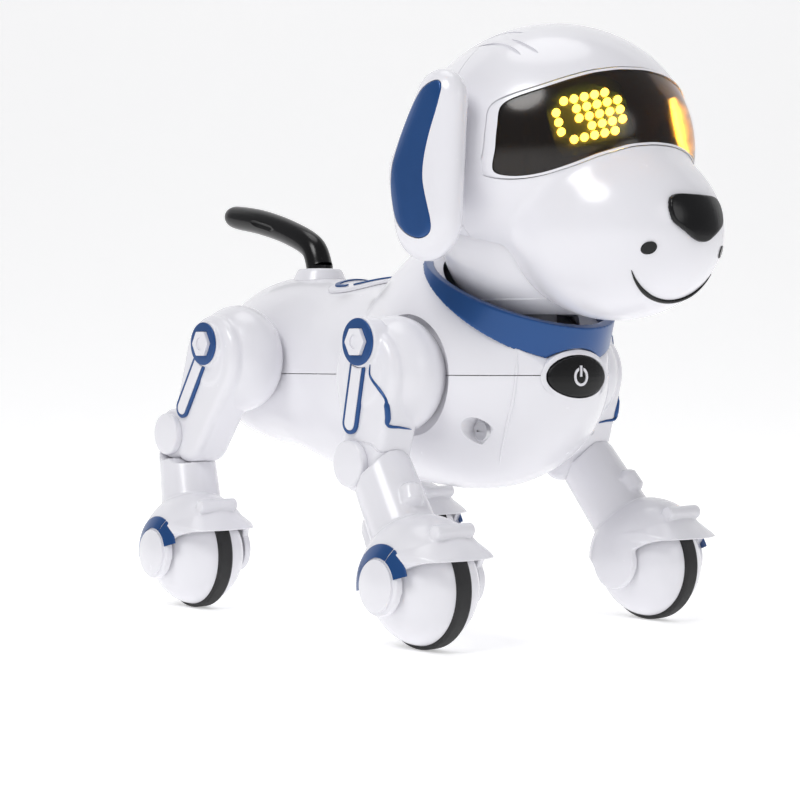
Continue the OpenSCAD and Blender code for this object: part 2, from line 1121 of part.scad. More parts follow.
module rear_right_axle() { right_side() axle(rear_leg); }

body_upper_shell();
body_lower_shell();
back_touch_panel();
back_panel_blue_trim();
collar();
chest_button_bezel();
neck_post();
main_circuit_board();
battery_pack();
battery_door();
speaker();
leg_gear_motors();
body_shell_screws();
tail_socket();
power_button();
power_symbol();
tail();
neck_ball();
head_back_shell();
head_front_shell();
head_yoke();
head_nod_pin();
visor_lens();
visor_rim();
eye_light_board();
eye_lights();
nose();
mouth_line();
left_ear_shell();
left_ear_blue_inlay();
right_ear_shell();
right_ear_blue_inlay();
front_left_thigh();
front_left_shin_and_wheel_cover();
front_left_blue_trim();
front_left_caps();
front_right_thigh();
front_right_shin_and_wheel_cover();
front_right_blue_trim();
front_right_caps();
rear_left_thigh();
rear_left_shin_and_wheel_cover();
rear_left_blue_trim();
rear_left_caps();
rear_right_thigh();
rear_right_shin_and_wheel_cover();
rear_right_blue_trim();
rear_right_caps();
front_left_wheel_domes();
front_left_tyre();
front_left_axle();
front_right_wheel_domes();
front_right_tyre();
front_right_axle();
rear_left_wheel_domes();
rear_left_tyre();
rear_left_axle();
rear_right_wheel_domes();
rear_right_tyre();
rear_right_axle();
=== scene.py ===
"""Looks of the robot dog toy: dense smooth meshes and materials on the CAD frame."""

import json
import math

import bmesh
import bpy
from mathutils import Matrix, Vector


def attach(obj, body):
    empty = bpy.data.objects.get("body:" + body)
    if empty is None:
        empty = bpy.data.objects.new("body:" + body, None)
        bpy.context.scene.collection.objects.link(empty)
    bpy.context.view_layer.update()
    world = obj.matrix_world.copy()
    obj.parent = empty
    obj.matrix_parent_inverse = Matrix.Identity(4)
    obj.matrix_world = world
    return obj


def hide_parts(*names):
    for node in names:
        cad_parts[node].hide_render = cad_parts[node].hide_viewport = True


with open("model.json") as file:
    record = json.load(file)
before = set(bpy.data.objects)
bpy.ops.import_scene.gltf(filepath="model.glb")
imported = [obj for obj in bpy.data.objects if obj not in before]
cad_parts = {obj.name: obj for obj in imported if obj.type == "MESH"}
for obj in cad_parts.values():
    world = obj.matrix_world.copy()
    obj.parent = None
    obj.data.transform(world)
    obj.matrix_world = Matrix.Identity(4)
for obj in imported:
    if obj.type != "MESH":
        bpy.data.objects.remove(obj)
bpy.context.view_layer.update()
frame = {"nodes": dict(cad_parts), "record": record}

MM = 0.001

# ---------- sizes, in millimetres, the same as the CAD part ----------

WALL = 2.4
GAP = 0.3
CHEST_HALF_WIDTH = 41
SEAM_HEIGHT = 95
SHOULDER = (31, 95)
HIP = (-68, 101)
HUB_RADIUS = 21.7
HUB_FLOOR = CHEST_HALF_WIDTH - 6
HUB_MIDDLE = 45
HUB_HALF_THICKNESS = 17
LEG_INNER = CHEST_HALF_WIDTH + 2.6
LEG_OUTER = 60
KNEE_RADIUS = 10.5
DISC_RADIUS = 8.6
WHEEL_RADIUS = 22
TYRE_WIDTH = 6.5
DOME_RADIUS = WHEEL_RADIUS - 1.2
TYRE_SEAT_RADIUS = DOME_RADIUS - 1.6
DOME_HALF_WIDTH = 18
COVER_RADIUS = WHEEL_RADIUS + 3.2
COVER_HALF_WIDTH = 22
HALF_TRACK = 58
AXLE_RADIUS = 1.5
LEG_PIN_RADIUS = 5
HEAD_CENTRE = (66.5, 0, 176)
NECK_PIVOT = (58.5, 0, 148)
NECK_BALL_RADIUS = 35
COLLAR_TILT = math.radians(37)
TAIL_X = -72
EAR_PIVOT = (71, 188)
TAIL_STEM_RADIUS = 5.6
BUTTON_HEIGHT = 94.5
BUTTON_FACE_X = 82
BUTTON_HALF_WIDTH = 14.5
BUTTON_HALF_HEIGHT = 7.4
BUTTON_FACE_RADIUS = 60
BUTTON_CLEARANCE = 0.4
BEZEL_WIDTH = 2.4
RUNNING_CLEARANCE = 0.08
SEAM_GAP = 0.15
COLLAR_SHIFT = 8
NECK_OPENING_RADIUS = 28
NECK_BALL_BOTTOM = 31
SCREW_MIDDLE = (59, 75)
SCREW_FLOOR = 26
HEAD_SPLIT_X = 62
HEAD_ELLIPSOIDS = [((0, 0, 0), (54, 49.5, 46)), ((33.5, 0, -31), (37.5, 35, 30.5))]
BODY_ELLIPSOIDS = [
    (29.5, 97, 53.5, CHEST_HALF_WIDTH, 45.5),
    (-20, 92, 62, 34, 40),
    (-76, 100, 52, 37, 36),
    (36, 118, 42, 35, 34),
]
FRONT_LEG = {
    "hub": SHOULDER, "disc": (31, 107), "link_end": (24.8, 77.8), "cuff": (30, 70),
    "knee": (26, 63), "shin_top": (28, 52, 68), "axle_x": 63,
}
REAR_LEG = {
    "hub": HIP, "disc": (-68, 107), "link_end": (-85.5, 81), "cuff": (-85, 70),
    "knee": (-95, 70), "shin_top": (-96, 52, 66), "axle_x": -79,
}

# Fine lines on the left front leg and the chest, as points on their surfaces.
CIRCUIT = [
    (36.4, 60.1, 100.5), (35.8, 60, 95), (40.6, 59.9, 90.3), (44, 59.5, 86.6),
    (44.2, 59.1, 82), (43.9, 58.6, 77.4), (44, 52.7, 76.4), (44, 47.5, 75.6),
]
CIRCUIT_WIDE = [(44.1, 59.4, 86), (44.3, 58.9, 82), (44, 58.4, 77.6)]
CUFF_LINES = [
    [
        (26, 59.9, 71), (35.7, 59.7, 70.4), (39.6, 59, 68), (42, 55.5, 67.6),
        (42.6, 50, 67.5), (42.2, 45, 67.6),
    ],
]
SHIN_RIB = [(51.5, 54.6, 57), (54.2, 56.2, 52.6), (57, 57.4, 48.6)]
CHEST_SEAM = [
    (73.1, -23.4, 104), (73.4, -23.5, 98.7), (73.2, -23.8, 94.5), (71.8, -23.9, 86.3),
    (68, -23.2, 77.3), (61.6, -20, 67.3), (55, -15, 60.5),
]

# ---------- mesh helpers ----------


def add_mesh(name, points, faces):
    """A new object from points in millimetres, with its faces turned outwards."""
    mesh = bpy.data.meshes.new(name)
    mesh.from_pydata([[c * MM for c in p] for p in points], [], faces)
    tidy = bmesh.new()
    tidy.from_mesh(mesh)
    bmesh.ops.recalc_face_normals(tidy, faces=tidy.faces)
    tidy.to_mesh(mesh)
    tidy.free()
    obj = bpy.data.objects.new(name, mesh)
    bpy.context.collection.objects.link(obj)
    return obj


def skin(name, rings, closed=False):
    """A solid through rings of points. Closed joins the last ring to the first."""
    count = len(rings[0])
    points = [p for ring in rings for p in ring]
    faces = []
    spans = len(rings) if closed else len(rings) - 1
    for i in range(spans):
        this, following = i * count, (i + 1) % len(rings) * count
        for j in range(count):
            k = (j + 1) % count
            faces.append((this + j, this + k, following + k, following + j))
    if not closed:
        faces.append(tuple(range(count)))
        faces.append(tuple(range(len(points) - count, len(points))))
    return add_mesh(name, points, faces)


def revolve_y(name, profile, middle, steps=144, closed=False):
    """Turns a profile of (radius, y) points about the Y axis through middle."""
    x, y0, z = middle
    rings = []
    for radius, y in profile:
        ring = []
        for step in range(steps):
            a = math.tau * step / steps
            ring.append((x + max(radius, 0.01) * math.cos(a), y0 + y, z + max(radius, 0.01) * math.sin(a)))
        rings.append(ring)
    return skin(name, rings, closed)


def soft_corners(points, radius, steps=6, closed=True):
    """The same outline with each corner rounded over the given distance."""
    made = []
    count = len(points)
    for i, corner in enumerate(points):
        corner = Vector(corner)
        if not closed and i in (0, count - 1):
            made.append(tuple(corner))
            continue
        before = Vector(points[i - 1]) - corner
        after = Vector(points[(i + 1) % count]) - corner
        a = corner + before.normalized() * min(radius, before.length * 0.49)
        b = corner + after.normalized() * min(radius, after.length * 0.49)
        for step in range(steps + 1):
            t = step / steps
            made.append(tuple(a * (1 - t) ** 2 + corner * 2 * t * (1 - t) + b * t * t))
    return made


def cylinder_y(name, p, y1, y2, radius, edge=0.0, steps=96):
    """A round bar along Y at (x, z) = p, with rounded edges if edge is over 0."""
    low, high = min(y1, y2), max(y1, y2)
    profile = [(0, low), (radius, low), (radius, high), (0, high)]
    if edge:
        profile = soft_corners(profile, edge, closed=False)
    return revolve_y(name, profile, (p[0], 0, p[1]), steps)


def spheroid_y(name, middle, radius, half_width, y1, y2, steps=160):
    first = math.asin(max(-1, y1 / half_width))
    last = math.asin(min(1, y2 / half_width))
    profile = [(0, half_width * math.sin(first))]
    for i in range(73):
        a = first + (last - first) * i / 72
        profile.append((radius * math.cos(a), half_width * math.sin(a)))
    profile.append((0, half_width * math.sin(last)))
    return revolve_y(name, profile, middle, steps)


def prism(name, outline, axis, low, high):
    """An outline made solid along axis "x", "y" or "z"."""
    place = {
        "x": lambda p, d: (d, p[0], p[1]),
        "y": lambda p, d: (p[0], d, p[1]),
        "z": lambda p, d: (p[0], p[1], d),
    }[axis]
    return skin(name, [[place(p, d) for p in outline] for d in (low, high)])


def circle_points(p, radius, steps=96):
    return [
        (p[0] + radius * math.cos(math.tau * i / steps), p[1] + radius * math.sin(math.tau * i / steps))
        for i in range(steps)
    ]


def hull_points(circles):
    """The outline round several circles, given as (x, z, radius)."""
    points = sorted(
        {(round(p[0], 4), round(p[1], 4)) for c in circles for p in circle_points(c[:2], c[2], 120)}
    )

    def chain(run):
        kept = []
        for p in run:
            while len(kept) > 1:
                (ax, az), (bx, bz) = kept[-2], kept[-1]
                if (bx - ax) * (p[1] - az) - (bz - az) * (p[0] - ax) > 0:
                    break
                kept.pop()
            kept.append(p)
        return kept[:-1]

    return chain(points) + chain(points[::-1])


def even_outline(points, count=180):
    """The same closed outline with evenly spaced points, starting at its rightmost point."""
    points = points[points.index(max(points)):] + points[: points.index(max(points))]
    loop = [Vector(p) for p in points + points[:1]]
    lengths = [0.0]
    for a, b in zip(loop, loop[1:]):
        lengths.append(lengths[-1] + (b - a).length)
    made, span = [], 0
    for i in range(count):
        target = lengths[-1] * i / count
        while lengths[span + 1] < target:
            span += 1
        t = (target - lengths[span]) / max(1e-9, lengths[span + 1] - lengths[span])
        made.append(tuple(loop[span].lerp(loop[span + 1], t)))
    return made


def pillow(name, circles, y1, y2, edge, height=None):
    """The hull of circles as a plate from y1 to y2 whose edges are rounded over edge."""
    height = height or edge
    rings = []
    quarter = [math.radians(90) * i / 10 for i in range(11)]
    for a in quarter:
        rings.append((edge * (1 - math.sin(a)), y1 + height * (1 - math.cos(a))))
    for a in quarter[::-1]:
        rings.append((edge * (1 - math.sin(a)), y2 - height * (1 - math.cos(a))))
    solid = []
    for inset, y in rings:
        outline = even_outline(hull_points([(x, z, r - inset) for x, z, r in circles]))
        solid.append([(p[0], y, p[1]) for p in outline])
    return skin(name, solid)


def neighbours(points, n):
    """The point before number n, that point and the two after it, held at the ends."""
    return [points[max(0, min(len(points) - 1, n + k))] for k in (-1, 0, 1, 2)]


def spline(a, b, c, d, t):
    """A smooth curve from b to c, with a before them and d after them."""
    return b + ((c - a) * t + (2 * a - 5 * b + 4 * c - d) * t**2 + (3 * b - 3 * c + d - a) * t**3) / 2


def tube(name, path, radius, sides=16):
    """A round tube with tapered ends along a smooth path of (x, y, z) points."""
    points = [Vector(p) for p in path]
    rings = []
    samples = (len(points) - 1) * 10
    for i in range(samples + 1):
        s = min(i / 10, len(points) - 1.0001)
        n, t = int(s), s - int(s)
        a, b, c, d = neighbours(points, n)
        middle = spline(a, b, c, d, t)
        along = (c - b).normalized()
        across = along.orthogonal().normalized()
        if rings:
            across = (last_across - along * last_across.dot(along)).normalized()
        last_across = across
        other = along.cross(across)
        taper = max(0.05, min(1, min(i, samples - i) / (samples * 0.25))) ** 0.6
        rings.append([
            tuple(middle + (across * math.cos(v) + other * math.sin(v)) * radius * taper)
            for v in (math.tau * k / sides for k in range(sides))
        ])
    return skin(name, rings)


def move_mesh(obj, change):
    for vertex in obj.data.vertices:
        vertex.co = Vector(change(vertex.co / MM)) * MM
    return obj


def shifted(obj, x=0, y=0, z=0):
    return move_mesh(obj, lambda p: (p.x + x, p.y + y, p.z + z))


def box(name, low, high):
    outline = [(low[0], low[1]), (high[0], low[1]), (high[0], high[1]), (low[0], high[1])]
    return prism(name, outline, "z", low[2], high[2])


def apply_modifiers(obj):
    graph = bpy.context.evaluated_depsgraph_get()
    made = bpy.data.meshes.new_from_object(obj.evaluated_get(graph))
    obj.modifiers.clear()
    obj.data = made
    return obj


def combine(target, others, how):
    """Cuts, joins or keeps the overlap of target with each of the others, which are used up."""
    for other in others:
        step = target.modifiers.new(how, "BOOLEAN")
        step.operation = how
        step.solver = "MANIFOLD"
        step.object = other
    apply_modifiers(target)
    for other in others:
        bpy.data.objects.remove(other)
    return target


def cut(target, *others):
    return combine(target, others, "DIFFERENCE")


def join(target, *others):
    return combine(target, others, "UNION")


def keep(target, *others):
    return combine(target, others, "INTERSECT")


def soften(obj, voxel=0.45, rounds=8):
    """Rounds the edges of a moulded piece: an even fine mesh, then smoothed."""
    even = obj.modifiers.new("even", "REMESH")
    even.mode = "VOXEL"
    even.voxel_size = voxel * MM
    smooth = obj.modifiers.new("smooth", "SMOOTH")
    smooth.factor = 0.5
    smooth.iterations = rounds
    return apply_modifiers(obj)


def mirrored(obj, name):
    """The same piece on the dog's right."""
    other = bpy.data.objects.new(name, obj.data.copy())
    bpy.context.collection.objects.link(other)
    for vertex in other.data.vertices:
        vertex.co.y = -vertex.co.y
    other.data.flip_normals()
    return other


def copied(obj, name):
    other = bpy.data.objects.new(name, obj.data.copy())
    bpy.context.collection.objects.link(other)
    return other


# ---------- materials ----------


def material(
    name, colour, roughness,
    metallic=0.0, variation=0.04, grain=900, bump=0.02, coat=0.0, specular=0.5,
):
    """A plastic or metal with slight changes of tone, wear in its gloss and a fine surface grain."""
    made = bpy.data.materials.new(name)
    made.use_nodes = True
    nodes, links = made.node_tree.nodes, made.node_tree.links
    shader = nodes["Principled BSDF"]
    shader.inputs["Metallic"].default_value = metallic
    shader.inputs["Specular IOR Level"].default_value = specular
    shader.inputs["Coat Weight"].default_value = coat
    shader.inputs["Coat Roughness"].default_value = 0.06
    where = nodes.new("ShaderNodeTexCoord")
    clouds = nodes.new("ShaderNodeTexNoise")
    clouds.inputs["Scale"].default_value = 35
    clouds.inputs["Detail"].default_value = 5
    links.new(where.outputs["Object"], clouds.inputs["Vector"])
    tone = nodes.new("ShaderNodeMixRGB")
    tone.inputs["Color1"].default_value = (*[c * (1 - variation) for c in colour], 1)
    tone.inputs["Color2"].default_value = (*[min(1, c * (1 + variation)) for c in colour], 1)
    links.new(clouds.outputs["Fac"], tone.inputs["Fac"])
    links.new(tone.outputs["Color"], shader.inputs["Base Color"])
    wear = nodes.new("ShaderNodeTexNoise")
    wear.inputs["Scale"].default_value = 140
    wear.inputs["Detail"].default_value = 8
    wear.inputs["Roughness"].default_value = 0.7
    links.new(where.outputs["Object"], wear.inputs["Vector"])
    gloss = nodes.new("ShaderNodeMapRange")
    gloss.inputs["To Min"].default_value = roughness * 0.8
    gloss.inputs["To Max"].default_value = min(1, roughness * 1.3)
    links.new(wear.outputs["Fac"], gloss.inputs["Value"])
    links.new(gloss.outputs["Result"], shader.inputs["Roughness"])
    fine = nodes.new("ShaderNodeTexNoise")
    fine.inputs["Scale"].default_value = grain
    fine.inputs["Detail"].default_value = 3
    links.new(where.outputs["Object"], fine.inputs["Vector"])
    relief = nodes.new("ShaderNodeBump")
    relief.inputs["Strength"].default_value = bump
    relief.inputs["Distance"].default_value = 0.0002
    links.new(fine.outputs["Fac"], relief.inputs["Height"])
    links.new(relief.outputs["Normal"], shader.inputs["Normal"])
    return made


def lit(made, colour, strength):
    shader = made.node_tree.nodes["Principled BSDF"]
    shader.inputs["Emission Color"].default_value = (*colour, 1)
    shader.inputs["Emission Strength"].default_value = strength
    return made


def see_through(made, amount):
    shader = made.node_tree.nodes["Principled BSDF"]
    shader.inputs["Transmission Weight"].default_value = amount
    shader.inputs["IOR"].default_value = 1.46
    return made


WHITE = material("white_plastic", (0.83, 0.825, 0.865), 0.24, variation=0.02, coat=0.25)
BLUE = material("blue_plastic", (0.009, 0.07, 0.245), 0.3, metallic=0.4, variation=0.12, coat=0.25)
BLACK = material("black_plastic", (0.004, 0.004, 0.0045), 0.2, variation=0.2, specular=0.35)
LENS = see_through(
    material("smoked_lens", (0.115, 0.07, 0.045), 0.14, variation=0.1, bump=0.004, specular=0.2),
    0.97,
)
LIGHT = lit(material("amber_light", (1.0, 0.62, 0.1), 0.4), (1.0, 0.66, 0.08), 110)
TYRE = material("tyre_rubber", (0.016, 0.016, 0.017), 0.62, variation=0.2, grain=1500, bump=0.3)
STEEL = material("steel", (0.6, 0.6, 0.62), 0.3, metallic=1.0, bump=0.1)
BOARD = material("circuit_board", (0.02, 0.07, 0.035), 0.5, variation=0.3, bump=0.2)
BATTERY = material("battery_wrap", (0.05, 0.15, 0.45), 0.4)
INNER_BLACK = material("inner_black", (0.02, 0.02, 0.02), 0.5)
INNER = material("inner_plastic", (0.35, 0.35, 0.37), 0.5)
SLOTS = {
    "white_plastic": WHITE, "blue_plastic": BLUE, "black_plastic": BLACK, "smoked_lens": LENS,
    "amber_light": LIGHT, "tyre_rubber": TYRE, "steel": STEEL, "circuit_board": BOARD,
    "battery_wrap": BATTERY, "inner_black": INNER_BLACK, "inner_plastic": INNER,
}
NODE_SLOT = {part["node"]: part["material_slot"] for part in frame["record"]["subparts"]}


def fit(obj, node, body, angle=32):
    """Gives a finished piece its finish and ties it to the CAD node and body it stands for."""
    obj.name = node + "_look"
    for polygon in obj.data.polygons:
        polygon.use_smooth = True
    obj.data.set_sharp_from_angle(angle=math.radians(angle))
    obj.data.materials.clear()
    obj.data.materials.append(SLOTS[NODE_SLOT[node]])
    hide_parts(node)
    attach(obj, body)
    return obj


# ---------- surfaces of the body and the head ----------


def blend(values, sharpness):
    return sum(max(v, 0) ** sharpness for v in values) ** (1 / sharpness)


def fullness(x, e):
    return math.sqrt(max(0, 1 - ((x - e[0]) / e[2]) ** 2))


def body_section(x):
    """Half width, rise above the seam and drop below it of the body at x."""
    parts = [(fullness(x, e), e) for e in BODY_ELLIPSOIDS]
    width = blend([f * e[3] for f, e in parts], 8)
    rise = blend([f * e[4] + (e[1] - SEAM_HEIGHT) * min(1, 3 * f) for f, e in parts], 8)
    drop = blend([f * e[4] - (e[1] - SEAM_HEIGHT) * min(1, 3 * f) for f, e in parts], 8)
    return width, rise, drop


BODY_REAR = BODY_ELLIPSOIDS[2][0] - BODY_ELLIPSOIDS[2][2]
BODY_FRONT = BODY_ELLIPSOIDS[0][0] + BODY_ELLIPSOIDS[0][2]


def body_solid(inset, around=200, along=160):
    middle, half = (BODY_REAR + BODY_FRONT) / 2, (BODY_FRONT - BODY_REAR) / 2
    rings = []
    for i in range(along + 1):
        t = math.radians(1.5 + 177 * i / along)
        width, rise, drop = body_section(middle - half * math.cos(t))
        x = middle - (half - inset) * math.cos(t)
        ring = []
        for j in range(around):
            a = math.tau * j / around
            height = (rise if math.sin(a) > 0 else drop) - inset
            ring.append((
                x,
                max(0.3, width - inset) * math.cos(a),
                SEAM_HEIGHT + max(0.3, height) * math.sin(a),
            ))
        rings.append(ring)
    return skin("body", rings)


def head_reach(d):
    """How far the head reaches from its centre along direction d."""
    found = []
    for centre, half in HEAD_ELLIPSOIDS:
        p = Vector(d[i] / half[i] for i in range(3))
        q = Vector(centre[i] / half[i] for i in range(3))
        k = p.dot(q)
        root = k * k - p.dot(p) * (q.dot(q) - 1)
        found.append(0 if root < 0 else (k + math.sqrt(root)) / p.dot(p))
    return blend(found, 10)


def head_solid(inset, around=240, up=150):
    rings = []
    for i in range(up + 1):
        v = math.radians(-89.2 + 178.4 * i / up)
        ring = []
        for j in range(around):
            u = math.tau * j / around
            d = Vector((math.cos(v) * math.cos(u), math.cos(v) * math.sin(u), math.sin(v)))
            ring.append(tuple(Vector(HEAD_CENTRE) + d * (head_reach(d) - inset)))
        rings.append(ring)
    return skin("head", rings)


def in_collar_frame(obj):
    """Moves a piece drawn about the origin to the tilted frame of the collar."""
    c, s = math.cos(COLLAR_TILT), math.sin(COLLAR_TILT)
    return move_mesh(obj, lambda p: (
        p.x * c + p.z * s + NECK_PIVOT[0],
        p.y,
        -p.x * s + p.z * c + NECK_PIVOT[2],
    ))


def revolve_z(name, profile, steps=180, closed=False):
    """Turns a profile of (radius, z) points about the Z axis."""
    rings = []
    for radius, z in profile:
        reach = max(radius, 0.01)
        rings.append([
            (reach * math.cos(math.tau * k / steps), reach * math.sin(math.tau * k / steps), z)
            for k in range(steps)
        ])
    return skin(name, rings, closed)


def button_plug(grow, x1, x2):
    outline = []
    for i in range(120):
        a = math.tau * i / 120
        outline.append((
            (BUTTON_HALF_WIDTH + grow) * math.cos(a),
            BUTTON_HEIGHT + (BUTTON_HALF_HEIGHT + grow) * math.sin(a),
        ))
    return prism("plug", outline, "x", x1, x2)


def leg_pockets(grow):
    radius = HUB_RADIUS + 2 * GAP + grow
    return [
        cylinder_y("pocket", p, side * (HUB_FLOOR - grow), side * 70, radius, steps=160)
        for p in (SHOULDER, HIP)
        for side in (-1, 1)
    ]


def screw_pits(grow):
    return [
        cylinder_y("pit", SCREW_MIDDLE, side * (SCREW_FLOOR - grow), side * 60, 5 + grow)
        for side in (-1, 1)
    ]


def trimmed_body(inset, around=200, along=160):
    low, high = -226 - inset, -26 - inset
    cone = revolve_z("cone", [(0, low), (438, low), (38, high), (0, high)])
    in_collar_frame(shifted(cone, COLLAR_SHIFT))
    return keep(body_solid(inset, around, along), cone)


# ---------- body ----------

shell = trimmed_body(0)
room = cut(trimmed_body(WALL, 120, 90), *leg_pockets(WALL), *screw_pits(WALL))
opening = revolve_z("opening", [(0, -45), (NECK_OPENING_RADIUS, -45), (NECK_OPENING_RADIUS, 35), (0, 35)])
neck_opening = in_collar_frame(shifted(opening, COLLAR_SHIFT / 2))
tail_hole = shifted(revolve_z("tail_hole", [(0, 120), (6.9, 120), (6.9, 160), (0, 160)]), TAIL_X)
cut(
    shell,
    room,
    *leg_pockets(0),
    *screw_pits(0),
    neck_opening,
    button_plug(BUTTON_CLEARANCE, 60, 100),
    tail_hole,
    box("door", (-12, -14, 40), (24, 14, 60)),
    *[cylinder_y("pin", p, -50, 50, LEG_PIN_RADIUS + RUNNING_CLEARANCE) for p in (SHOULDER, HIP)],
)
ridges = [tube("ridge", [(x, side * y, z) for x, y, z in CHEST_SEAM], 0.55) for side in (-1, 1)]
join(shell, *ridges)
lower_shell = copied(shell, "lower")
upper_shell = keep(shell, box("above", (-200, -100, SEAM_HEIGHT + SEAM_GAP), (200, 100, 220)))
keep(lower_shell, box("below", (-200, -100, 0), (200, 100, SEAM_HEIGHT - SEAM_GAP)))
fit(upper_shell, "body_upper_shell", "body")
fit(lower_shell, "body_lower_shell", "body")


def back_panel(inset, z1=120, z2=150):
    outline = [
        (-14 + inset, -16 + inset), (8 - inset, -13 + inset), (25 - 2 * inset, -3),
        (25 - 2 * inset, 3), (8 - inset, 13 - inset), (-14 + inset, 16 - inset),
    ]
    rounded = soft_corners([(x - 34, y) for x, y in outline], 4)
    return prism("panel", rounded, "z", z1, z2)


panel = keep(cut(body_solid(-1.6), body_solid(-0.1)), back_panel(0))
fit(soften(panel, 0.35, 4), "back_touch_panel", "body")
panel_line = cut(back_panel(2), back_panel(3.4, 110, 160), box("break", (-38, -20, 110), (-34, 20, 160)))
panel_trim = keep(cut(body_solid(-2.2), body_solid(-1.65)), panel_line)
fit(panel_trim, "back_panel_blue_trim", "body")

collar = revolve_z("collar", [(38.3, -26.6), (33, -8), (29.4, -8), (34.7, -26.6)], closed=True)
in_collar_frame(shifted(collar, COLLAR_SHIFT))


def lowered_head():
    """The head at the bottom of its nod, with room to spare."""
    c, s = math.cos(math.radians(3)), math.sin(math.radians(3))
    return move_mesh(head_solid(-1), lambda p: (
        (p.x - NECK_PIVOT[0]) * c + (p.z - NECK_PIVOT[2]) * s + NECK_PIVOT[0],
        p.y,
        -(p.x - NECK_PIVOT[0]) * s + (p.z - NECK_PIVOT[2]) * c + NECK_PIVOT[2],
    ))


def ball(radius, middle=NECK_PIVOT):
    angles = [math.radians(-90 + i) for i in range(0, 181, 2)]
    return shifted(revolve_z("ball", [(radius * math.cos(a), radius * math.sin(a)) for a in angles]), *middle)


def tilted_box(low, high, tilt, origin):
    c, s = math.cos(math.radians(tilt)), math.sin(math.radians(tilt))
    return move_mesh(box("tilted", low, high), lambda p: (
        p.x * c + p.z * s + origin[0], p.y + origin[1], -p.x * s + p.z * c + origin[2]
    ))


cut(
    collar,
    ball(NECK_BALL_RADIUS + 0.5),
    tilted_box((-60, -60, 0), (60, 60, 60), 25, (NECK_PIVOT[0] - 5, 0, NECK_PIVOT[2] - 21.7)),
    lowered_head(),
    trimmed_body(-0.05),
    button_plug(BEZEL_WIDTH + GAP, 60, 100),
)
fit(soften(collar, 0.4, 4), "collar", "body")



def button_dome(depth):
    """A ball whose front is depth behind the face of the button."""
    return ball(BUTTON_FACE_RADIUS, (BUTTON_FACE_X - depth - BUTTON_FACE_RADIUS, 0, BUTTON_HEIGHT))


bezel = cut(button_plug(BEZEL_WIDTH, 70, 100), button_plug(BUTTON_CLEARANCE, 60, 110), trimmed_body(-0.05))
keep(bezel, button_dome(0.4))
fit(soften(bezel, 0.25, 5), "chest_button_bezel", "body")
button = keep(button_plug(0, BUTTON_FACE_X - 10, 100), button_dome(0.05))
fit(soften(button, 0.3, 5), "power_button", "power_button")
SIGN_BACK = BUTTON_FACE_X - 0.1
SIGN_FRONT = BUTTON_FACE_X + 0.3
sign = cut(
    prism("ring", circle_points((0, BUTTON_HEIGHT), 3.4), "x", SIGN_BACK, SIGN_FRONT),
    prism("hole", circle_points((0, BUTTON_HEIGHT), 2.5), "x", 80, 90),
    box("notch", (80, -1.2, BUTTON_HEIGHT), (90, 1.2, BUTTON_HEIGHT + 5)),
)
join(sign, box("stroke", (SIGN_BACK, -0.45, BUTTON_HEIGHT), (SIGN_FRONT, 0.45, BUTTON_HEIGHT + 4)))
fit(sign, "power_symbol", "power_button")

SOCKET_BORE = TAIL_STEM_RADIUS + RUNNING_CLEARANCE
socket_profile = soft_corners([(SOCKET_BORE, 128), (14, 128), (9.2, 139), (SOCKET_BORE, 139)], 1.2)
socket = cut(shifted(revolve_z("socket", socket_profile, closed=True), TAIL_X), body_solid(-0.05))
fit(socket, "tail_socket", "body")

# Points along the middle of the tail: x, height and radius.
TAIL_POINTS = [
    (TAIL_X, 139.6, TAIL_STEM_RADIUS), (-77, 148.5, 5.4), (-93, 155.5, 5.3), (-113, 161, 5.4),
    (-130, 164, 5.2), (-136, 165, 4.4), (-139, 165.4, 2.4), (-139.9, 165.5, 0.3),
]


def along_curve(points, t):
    i = min(len(points) - 2, int(t))
    a, b, c, d = (Vector(p) for p in neighbours(points, i))
    return spline(a, b, c, d, t - i)


def curved_tail():
    rings = []
    last = len(TAIL_POINTS) - 1
    for step in range(last * 12 + 1):
        t = step / 12
        x, z, radius = along_curve(TAIL_POINTS, t)
        run = along_curve(TAIL_POINTS, min(last, t + 0.1)) - along_curve(TAIL_POINTS, max(0, t - 0.1))
        lean = math.atan2(run[0], run[1])
        ring = []
        for k in range(64):
            a = math.tau * k / 64
            ring.append((
                x + radius * math.cos(a) * math.cos(lean),
                radius * math.sin(a),
                z - radius * math.cos(a) * math.sin(lean),
            ))
        rings.append(ring)
    return skin("tail", rings)


tail = curved_tail()
stem_profile = [
    (0, 128.5), (9, 128.5), (9, 131), (TAIL_STEM_RADIUS, 131), (TAIL_STEM_RADIUS, 140.5), (0, 140.5),
]
join(tail, shifted(revolve_z("stem", stem_profile, 96), TAIL_X))
for side in (-1, 1):
    y = side * 6.2
    cut(tail, tube("groove", [(-97, y, 156.5), (-106, y, 159), (-116, y, 161.5)], 1.8))
fit(tail, "tail", "tail")

# ---------- neck and head ----------

neck = cut(
    ball(NECK_BALL_RADIUS),
    ball(NECK_BALL_RADIUS - WALL),
    box("under", (-10, -50, 60), (120, 50, NECK_PIVOT[2] - NECK_BALL_BOTTOM)),
    tilted_box((-50, -50, 14), (50, 50, 64), 10, NECK_PIVOT),
)
hub = revolve_z("hub", [(0, -26), (24, -26), (24, -23), (8.5, -23), (8.5, -8), (0, -8)], 96)
shifted(hub, *NECK_PIVOT)
block = [(NECK_PIVOT[0] - 8, -8, NECK_PIVOT[2] - 9), (NECK_PIVOT[0] + 8, 8, NECK_PIVOT[2] + 8)]
join(hub, box("block", *block))
bore = revolve_z("bore", [(0, -27), (5.08, -27), (5.08, -11), (0, -11)], 96)
cut(
    hub,
    shifted(bore, *NECK_PIVOT),
    cylinder_y("pin", (NECK_PIVOT[0], NECK_PIVOT[2]), -10, 10, 3.08),
)
fit(join(neck, hub), "neck_ball", "neck")

